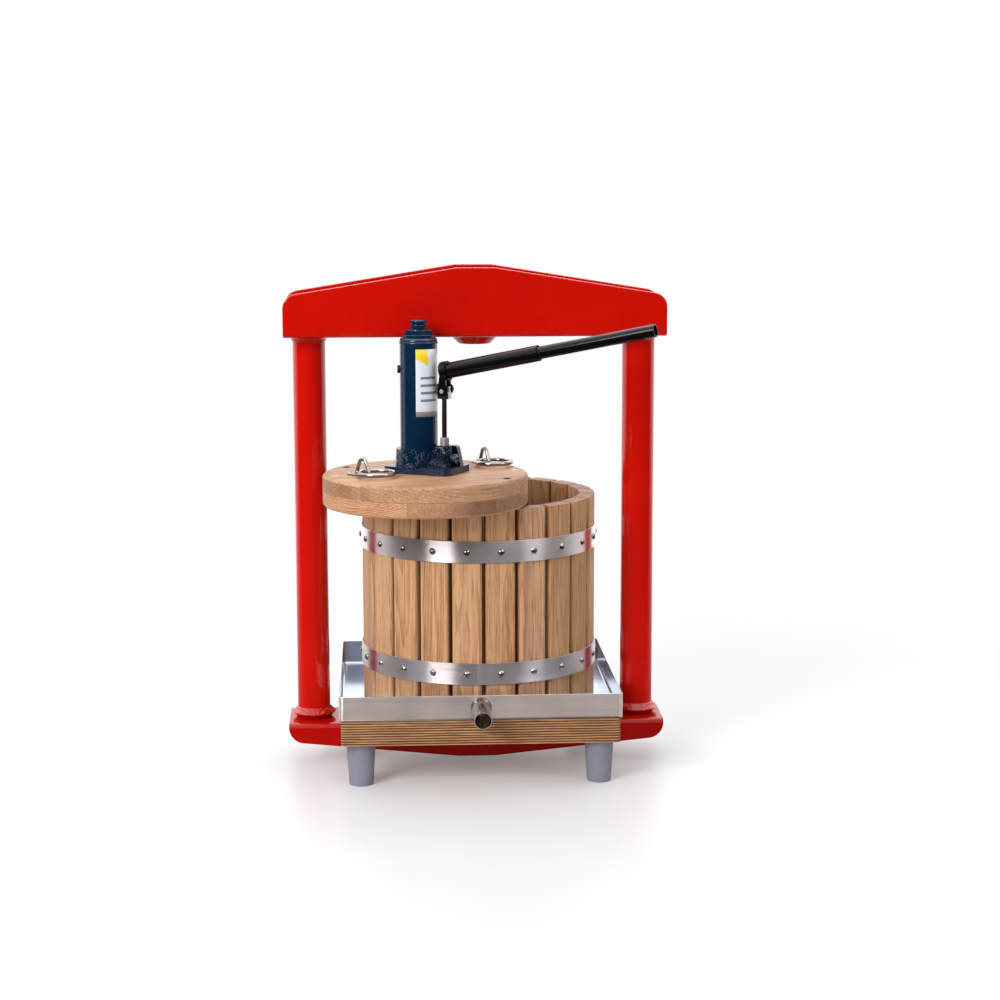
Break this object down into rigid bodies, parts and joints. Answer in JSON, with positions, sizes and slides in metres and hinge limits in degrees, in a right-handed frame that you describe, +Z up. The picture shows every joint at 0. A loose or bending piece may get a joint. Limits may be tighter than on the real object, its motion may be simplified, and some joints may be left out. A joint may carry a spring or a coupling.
{
  "type": "hydraulic fruit press",
  "caption": "Bench fruit press: stave basket in a juice tray under a steel channel frame, with a press plate and a bottle jack that pushes against the top beam.",
  "frame": {"origin": "centre of the footprint on the floor, with the jack's handle counted in", "axes": "+Z up; +X to the right seen from the spout side; the spout points along -Y"},
  "size_m": [0.45, 0.366, 0.5933],
  "materials": {
    "red_paint": "gloss",
    "plywood": "oiled",
    "zinc": "zinc plated",
    "grey_plastic": "matt",
    "stainless_sheet": "brushed",
    "oak_staves": "varnished",
    "stainless_hoop": "polished",
    "oak_plate": "oiled",
    "polished_steel": "polished",
    "blue_paint": "gloss",
    "blue_cast": "textured gloss",
    "rubber": "matt",
    "black_paint": "satin"
  },
  "bodies": {
    "frame": {"upper_beam": "red_paint", "lower_beam": "red_paint", "left_upright": "red_paint", "right_upright": "red_paint", "upright_welds": "red_paint", "ram_seat": "red_paint", "base_board": "plywood", "board_bolts": "zinc", "board_nuts": "zinc", "foot_front_left": "grey_plastic", "foot_front_right": "grey_plastic", "foot_back_left": "grey_plastic", "foot_back_right": "grey_plastic", "foot_screws": "zinc"},
    "tray": {"juice_tray": "stainless_sheet", "spout": "stainless_sheet"},
    "basket": {"staves": "oak_staves", "lower_hoop": "stainless_hoop", "upper_hoop": "stainless_hoop", "hoop_screws": "stainless_hoop"},
    "press_plate": {"plate_bottom_layer": "oak_plate", "plate_top_layer": "oak_plate", "plate_screws": "polished_steel", "left_pad_eye": "polished_steel", "right_pad_eye": "polished_steel", "pad_eye_screws": "polished_steel"},
    "left_ring": {"left_ring": "polished_steel"},
    "right_ring": {"right_ring": "polished_steel"},
    "jack": {"jack_base": "blue_cast", "oil_tank": "blue_paint", "pressure_cylinder": "polished_steel", "gland_nut": "blue_paint", "wiper_seal": "rubber", "pump_sleeve": "zinc", "check_ball": "zinc", "fulcrum_bracket": "blue_paint", "fulcrum_pin": "zinc"},
    "filler_plug": {"filler_plug": "rubber"},
    "ram": {"ram": "polished_steel", "ram_seal": "rubber"},
    "extension_screw": {"extension_screw": "blue_paint"},
    "release_valve": {"release_valve": "blue_paint"},
    "plunger": {"pump_plunger": "polished_steel", "plunger_seal": "rubber"},
    "lever": {"handle_socket": "blue_paint", "plunger_pin": "zinc"},
    "handle_lower": {"handle_lower_tube": "black_paint"},
    "handle_upper": {"handle_upper_tube": "black_paint"}
  },
  "joints": [
    {"name": "tray_slide", "type": "slide", "parent": "frame", "child": "tray", "axis": [0, -1, 0], "range_m": [0, 0.15]},
    {"name": "basket_lift", "type": "slide", "parent": "tray", "child": "basket", "axis": [0, 0, 1], "range_m": [0, 0.04]},
    {"name": "plate_lift", "type": "slide", "parent": "basket", "child": "press_plate", "axis": [0, 0, 1], "range_m": [0, 0.03]},
    {"name": "jack_lift", "type": "slide", "parent": "press_plate", "child": "jack", "axis": [0, 0, 1], "range_m": [0, 0.04]},
    {"name": "ram_slide", "type": "slide", "parent": "jack", "child": "ram", "axis": [0, 0, 1], "range_m": [0, 0.085]},
    {"name": "extension_screw_rise", "type": "slide", "parent": "ram", "child": "extension_screw", "axis": [0, 0, 1], "range_m": [0, 0.04]},
    {"name": "release_valve_turn", "type": "hinge", "parent": "jack", "child": "release_valve", "pos_m": [-0.03106, -0.05895, 0.37605], "axis": [0.8829, -0.4695, 0], "range_deg": [0, 360]},
    {"name": "pump_lever", "type": "hinge", "parent": "jack", "child": "lever", "pos_m": [-0.04386, -0.05215, 0.45405], "axis": [-0.4695, -0.8829, 0], "range_deg": [-38, 3]},
    {"name": "plunger_slide", "type": "slide", "parent": "jack", "child": "plunger", "axis": [0, 0, 1], "range_m": [-0.0041, 0.0004]},
    {"name": "handle_pull", "type": "slide", "parent": "lever", "child": "handle_lower", "axis": [0.8637, -0.4592, 0.2079], "range_m": [0, 0.02]},
    {"name": "handle_extend", "type": "slide", "parent": "handle_lower", "child": "handle_upper", "axis": [0.8637, -0.4592, 0.2079], "range_m": [0, 0.035]},
    {"name": "filler_plug_pull", "type": "slide", "parent": "jack", "child": "filler_plug", "axis": [-0.9986, 0.0523, 0], "range_m": [0, 0.008]},
    {"name": "left_ring_swing", "type": "hinge", "parent": "press_plate", "child": "left_ring", "pos_m": [-0.133, -0.07346, 0.36385], "axis": [-0.682, -0.7314, 0], "range_deg": [0, 180]},
    {"name": "right_ring_swing", "type": "hinge", "parent": "press_plate", "child": "right_ring", "pos_m": [0.01099, 0.0165, 0.36385], "axis": [-0.8829, -0.4695, 0], "range_deg": [0, 180]}
  ],
  "couplings": [
    {"joint": "plunger_slide", "follows": "pump_lever", "m_per_rad": 0.006}
  ]
}
